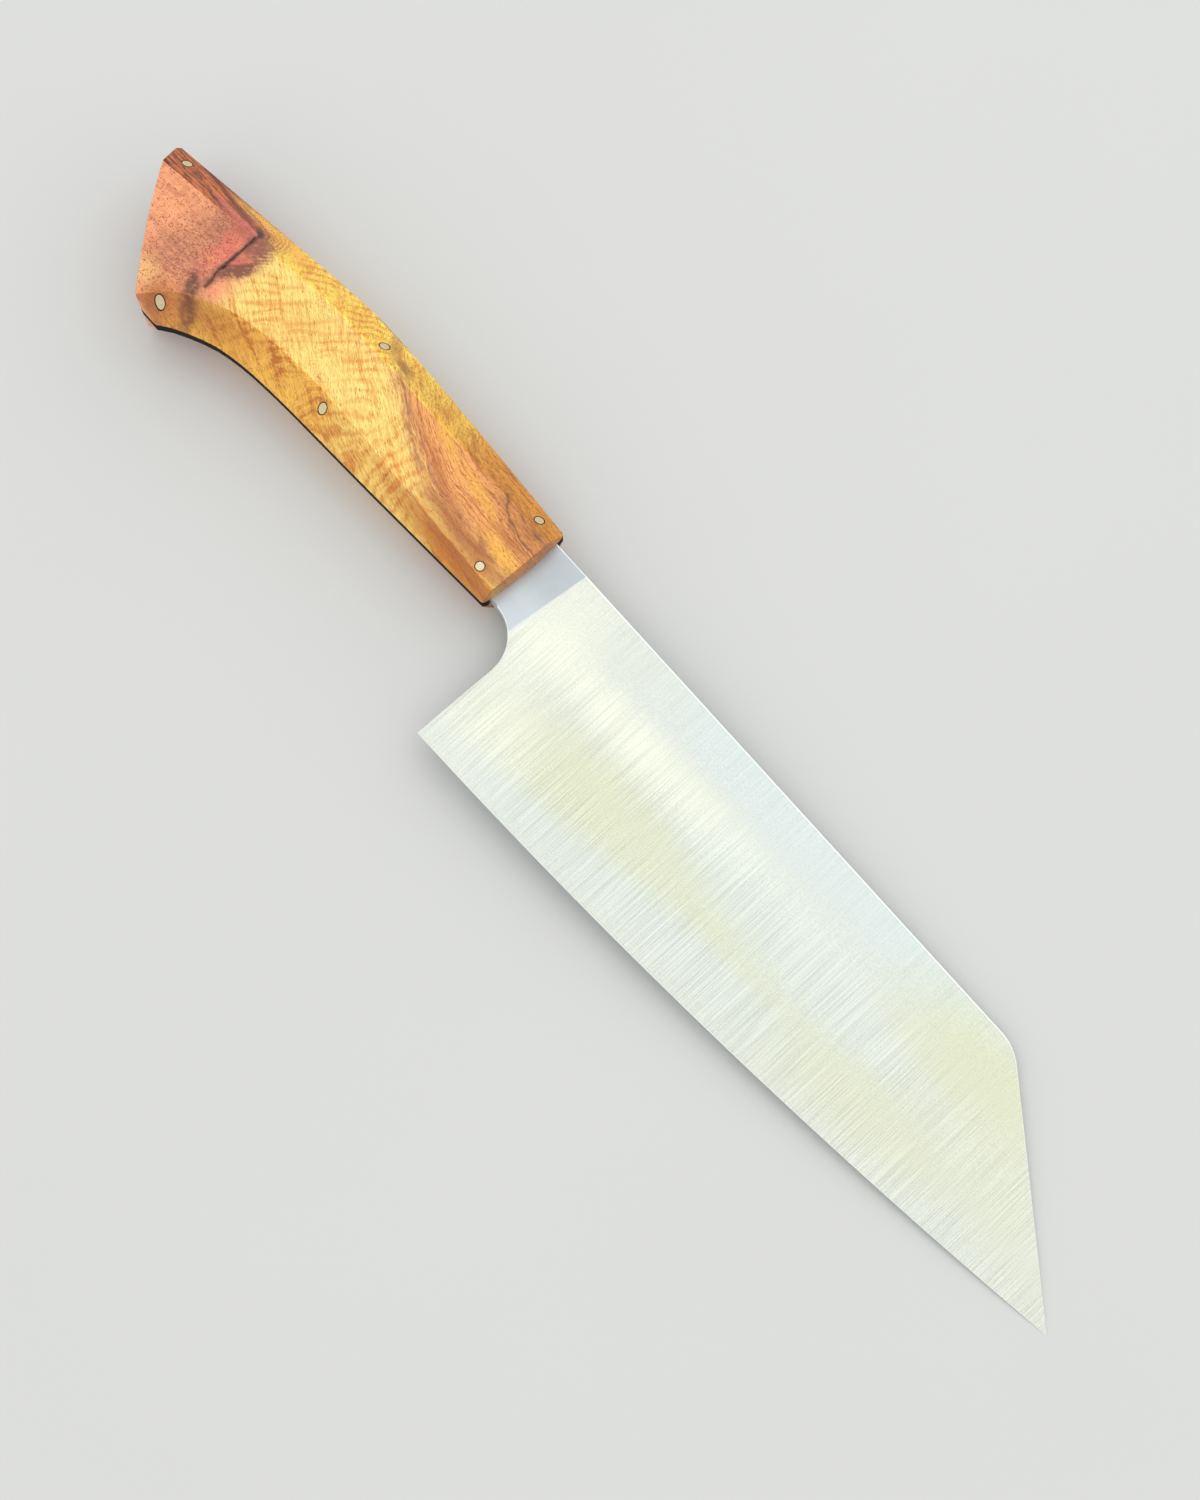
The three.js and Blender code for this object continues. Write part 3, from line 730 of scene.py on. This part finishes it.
def close_holes(piece, holes):
    """Fills the pin holes, so that the ridges can be eased on whole faces."""

    def pick(wall):
        bpy.ops.mesh.select_all(action="DESELECT")
        shape = bmesh.from_edit_mesh(piece.data)
        for face in shape.faces:
            place = face.calc_center_median()
            near = any((place - hole).to_2d().length < HOLE_REACH for hole in holes)
            face.select_set(near and (not wall or abs(face.normal.z) < WALL_LEAN))
        bmesh.update_edit_mesh(piece.data)

    bpy.ops.object.mode_set(mode="EDIT")
    bpy.ops.mesh.select_mode(type="FACE")
    pick(wall=True)
    bpy.ops.mesh.delete(type="FACE")
    bpy.ops.mesh.select_all(action="SELECT")
    bpy.ops.mesh.fill_holes(sides=0)
    pick(wall=False)
    bpy.ops.mesh.select_more()
    bpy.ops.mesh.dissolve_limited(angle_limit=PLUG_TURN)
    bpy.ops.mesh.select_mode(type="EDGE")
    bpy.ops.object.mode_set(mode="OBJECT")


def drill(piece, gap):
    """Cuts the pin holes, wider than the pins by the gap all round."""
    bits = []
    for pin in PINS:
        low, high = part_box(pin)
        bpy.ops.mesh.primitive_cylinder_add(
            vertices=HOLE_SIDES,
            radius=(high.x - low.x) / 2 + gap,
            depth=2 * (high.z - low.z),
            location=(low + high) / 2,
        )
        bits.append(bpy.context.object)
    for bit in bits:
        bit.select_set(True)
    bpy.ops.object.join()
    bit = bpy.context.object
    bpy.context.view_layer.objects.active = piece
    bpy.ops.object.modifier_add(type="BOOLEAN")
    cut = piece.modifiers[-1]
    cut.operation = "DIFFERENCE"
    cut.object = bit
    cut.solver = "MANIFOLD"
    bpy.ops.object.modifier_apply(modifier=cut.name)
    bpy.data.objects.remove(bit)


def handle_corners():
    """Outer corners of the handle's outline, each with the outward directions of its two sides."""
    shape = bmesh.new()
    shape.from_mesh(frame["nodes"]["spacer"].data)
    bmesh.ops.remove_doubles(shape, verts=shape.verts, dist=WELD)
    corners = []
    for edge in shape.edges:
        place = middle_of(edge)
        standing = abs(edge.verts[0].co.z - edge.verts[1].co.z) > STANDING * edge.calc_length()
        outside = place.x < 0 or abs(place.y) > SLOT_HALF
        if standing and outside and turns(edge, CORNER_TURN):
            corners.append((place, *(face.normal.copy() for face in edge.link_faces)))
    shape.free()
    return corners


def round_corners(piece, radius):
    """Cuts each outer corner of the handle with planes that touch a cylinder of that radius."""
    bpy.ops.object.mode_set(mode="EDIT")
    for place, first, second in handle_corners():
        centre = place - (first + second) * (radius / (1 + first.dot(second)))
        cuts = math.ceil(first.angle(second) / ROUND_STEP)
        for cut in range(1, cuts):
            outward = first.lerp(second, cut / cuts).normalized()
            bpy.ops.mesh.select_all(action="SELECT")
            bpy.ops.mesh.bisect(plane_co=centre + outward * radius, plane_no=outward, clear_outer=True)
            bpy.ops.mesh.select_all(action="SELECT")
            bpy.ops.mesh.fill_holes(sides=0)
    bpy.ops.mesh.select_all(action="SELECT")
    bpy.ops.mesh.remove_doubles(threshold=NEAR)
    bpy.ops.mesh.normals_make_consistent(inside=False)
    bpy.ops.object.mode_set(mode="OBJECT")


def turns(edge, least):
    return edge.is_manifold and edge.calc_face_angle() > least


def note_facing(piece):
    """Keeps the outward direction of each corner, for marks that follow the facets."""
    facing = piece.data.attributes.new(FACING, "FLOAT_VECTOR", "CORNER")
    parts = [part for normal in piece.data.corner_normals for part in normal.vector]
    facing.data.foreach_set("vector", parts)


def finish_piece(piece, material, slot, *nodes):
    """Shades the piece, gives it its material and has it stand for its solids."""
    bpy.ops.object.select_all(action="DESELECT")
    bpy.context.view_layer.objects.active = piece
    piece.select_set(True)
    bpy.ops.object.shade_smooth_by_angle(angle=SMOOTH_TURN)
    bpy.ops.object.modifier_add(type="WEIGHTED_NORMAL")
    weighting = piece.modifiers[-1]
    weighting.keep_sharp = True
    bpy.ops.object.modifier_apply(modifier=weighting.name)
    piece.data.materials.clear()
    piece.data.materials.append(material)
    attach(piece, BODY)
    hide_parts(*nodes)


class KnifeBlade(bpy.types.Operator):
    """Ground blade with eased spine, clip and choil"""

    bl_idname = "knife.blade"
    bl_label = "Blade"

    def execute(self, context):
        settings = context.scene.knife_blade
        piece = solid_copy("blade", "blade_ground")
        handle_front = spacer_high.x

        def outline(edge):
            place = middle_of(edge)
            half = abs(place.z - MID_PLANE)
            lean = min((abs(face.normal.z) for face in edge.link_faces), default=1)
            if place.x < handle_front or lean > OUTLINE_LEAN or not turns(edge, STOCK_TURN):
                return 0
            return min(half / THICK_STOCK, 1)

        ease_edges(piece, outline, settings.eased_edge, EASING_STEPS)
        keep_within(piece, "blade")
        finish_piece(piece, ground_steel(settings), "steel", "blade")
        note_facing(piece)
        return {"FINISHED"}


class KnifeScales(bpy.types.Operator):
    """Two wooden scales with eased ridges"""

    bl_idname = "knife.scales"
    bl_label = "Scales"

    def execute(self, context):
        settings = context.scene.knife_handle
        material = figured_wood(settings)
        holes = [sum(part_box(pin), Vector()) / 2 for pin in PINS]
        gap = context.scene.knife_pins.glue_width

        def ridge(edge):
            place = middle_of(edge)
            above = abs(place.z - MID_PLANE) > SPACER_HALF + SEAM
            if not (above and turns(edge, RIDGE_TURN)):
                return 0
            worn = 1 - abs(place.x - WORN_MIDDLE) / WORN_REACH
            return LEAST_EASING + (1 - LEAST_EASING) * max(worn, 0)

        for scale in SCALES:
            piece = solid_copy(scale, scale + "_shaped")
            close_holes(piece, holes)
            round_corners(piece, settings.corner_radius)
            ease_edges(piece, ridge, settings.ridge_easing, EASING_STEPS)
            keep_within(piece, scale)
            drill(piece, gap)
            finish_piece(piece, material, "wood", scale)
            note_facing(piece)
        return {"FINISHED"}


class KnifeSpacer(bpy.types.Operator):
    """Black spacer between the scales"""

    bl_idname = "knife.spacer"
    bl_label = "Spacer"

    def execute(self, context):
        settings = context.scene.knife_handle
        piece = solid_copy("spacer", "spacer_shaped")
        round_corners(piece, settings.corner_radius)
        finish_piece(piece, black_composite(settings), "spacer", "spacer")
        return {"FINISHED"}


class KnifePins(bpy.types.Operator):
    """Brass pins with eased rims, each in a ring of glue"""

    bl_idname = "knife.pins"
    bl_label = "Pins"

    def execute(self, context):
        settings = context.scene.knife_pins
        brass, glue = sanded_brass(settings), dark_glue(settings)
        for pin in PINS:
            piece = solid_copy(pin, pin + "_rod")
            ease_edges(piece, lambda edge: float(turns(edge, RIDGE_TURN)), settings.rim_easing, RIM_STEPS)
            finish_piece(piece, brass, "brass", pin)
            ring = solid_copy(pin, pin + "_glue")
            self.swell(ring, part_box(pin), settings)
            finish_piece(ring, glue, "spacer")
        return {"FINISHED"}

    def swell(self, ring, box, settings):
        """Fills the hole round a pin, with both ends a little below the surface."""
        low, high = box
        centre = (low + high) / 2
        radius = (high.x - low.x) / 2
        factor = 1 + settings.glue_width / radius
        sink = (factor - 1) * (high.z - low.z) / 2 + settings.glue_recess
        bpy.ops.object.mode_set(mode="EDIT")
        bpy.ops.mesh.select_all(action="SELECT")
        bpy.ops.transform.resize(value=(factor,) * 3, center_override=centre)
        for end in (1, -1):
            bpy.ops.mesh.select_all(action="DESELECT")
            shape = bmesh.from_edit_mesh(ring.data)
            for vert in shape.verts:
                vert.select_set((vert.co.z - centre.z) * end > 0)
            shape.select_flush(True)
            bmesh.update_edit_mesh(ring.data)
            bpy.ops.transform.translate(value=(0, 0, -end * sink))
        bpy.ops.object.mode_set(mode="OBJECT")


class KnifeStage(bpy.types.Operator):
    """Floor under handle and tip, soft light and the camera"""

    bl_idname = "knife.stage"
    bl_label = "Stage"

    def execute(self, context):
        settings = context.scene.knife_stage
        self.lay_floor(settings)
        self.light(context.scene, settings)
        self.aim_camera(context.scene, settings)
        return {"FINISHED"}

    def lay_floor(self, settings):
        """The knife lies on its handle and its tip, so the floor slopes from one to the other."""
        tip = max((v.co for v in frame["nodes"]["blade"].data.vertices), key=lambda place: place.x)
        handle = [v.co for v in frame["nodes"]["scale_right"].data.vertices]
        slope = max((tip.z - place.z) / (tip.x - place.x) for place in handle)
        bpy.ops.object.select_all(action="DESELECT")
        bpy.ops.mesh.primitive_grid_add(
            x_subdivisions=FLOOR_CELLS, y_subdivisions=FLOOR_CELLS, size=settings.floor_size
        )
        floor = bpy.context.object
        floor.name = "floor"
        floor.rotation_euler = (0, -math.atan(slope), 0)
        floor.location = (0, 0, tip.z - slope * tip.x)
        floor.data.materials.append(pale_floor(settings))

    def light(self, scene, settings):
        """A dome that is brightest overhead, and a soft lamp on the spine side."""
        world = bpy.data.worlds.new("studio")
        world.use_nodes = True
        scene.world = world
        wire = Wire(world.node_tree)
        direction = wire.node("ShaderNodeTexCoord", output="Generated")
        height = wire.node("ShaderNodeSeparateXYZ", None, {0: direction}, 2)
        level = settings.horizon + rise(height, 0.0, DOME_TOP) * (settings.zenith - settings.horizon)
        background = world.node_tree.nodes["Background"]
        world.node_tree.links.new(level.socket, background.inputs["Strength"])
        background.inputs["Color"].default_value = DOME_TINT
        lamp = bpy.data.lights.new("spine_side_lamp", "AREA")
        lamp.shape = "SQUARE"
        lamp.size = settings.lamp_size
        lamp.energy = settings.lamp_power
        holder = bpy.data.objects.new("spine_side_lamp", lamp)
        scene.collection.objects.link(holder)
        aim = Vector(settings.camera_aim)
        away = Vector(LAMP_SIDE).normalized()
        holder.location = aim + away * settings.lamp_reach
        holder.rotation_euler = away.to_track_quat("Z", "Y").to_euler()

    def aim_camera(self, scene, settings):
        lens = bpy.data.cameras.new("camera")
        lens.lens = settings.lens
        lens.sensor_width = SENSOR_WIDTH
        lens.clip_start = CLIP_START
        camera = bpy.data.objects.new("camera", lens)
        scene.collection.objects.link(camera)
        camera.rotation_euler = (settings.camera_tilt, 0, settings.camera_turn)
        back = camera.rotation_euler.to_matrix() @ Vector((0, 0, 1))
        camera.location = Vector(settings.camera_aim) + back * settings.camera_distance
        scene.camera = camera
        scene.view_settings.view_transform = "Standard"


class KnifePanel(bpy.types.Panel):
    """Steps that finish the knife, in order"""

    bl_idname = "KNIFE_PT_steps"
    bl_label = "Bunka knife"
    bl_space_type = "VIEW_3D"
    bl_region_type = "UI"
    bl_category = "Knife"

    def draw(self, context):
        for step in STEPS:
            self.layout.operator(step.bl_idname)


SETTINGS = {
    "knife_blade": KnifeBladeSettings,
    "knife_handle": KnifeHandleSettings,
    "knife_pins": KnifePinSettings,
    "knife_stage": KnifeStageSettings,
}
STEPS = (KnifeBlade, KnifeScales, KnifeSpacer, KnifePins, KnifeStage)


def register():
    for name, group in SETTINGS.items():
        bpy.utils.register_class(group)
        setattr(bpy.types.Scene, name, PointerProperty(type=group))
    for step in STEPS:
        bpy.utils.register_class(step)
    bpy.utils.register_class(KnifePanel)


def unregister():
    bpy.utils.unregister_class(KnifePanel)
    for step in reversed(STEPS):
        bpy.utils.unregister_class(step)
    for name, group in reversed(SETTINGS.items()):
        delattr(bpy.types.Scene, name)
        bpy.utils.unregister_class(group)


def main():
    register()
    bpy.ops.knife.blade()
    bpy.ops.knife.scales()
    bpy.ops.knife.spacer()
    bpy.ops.knife.pins()
    bpy.ops.knife.stage()


if __name__ == "__main__":
    main()
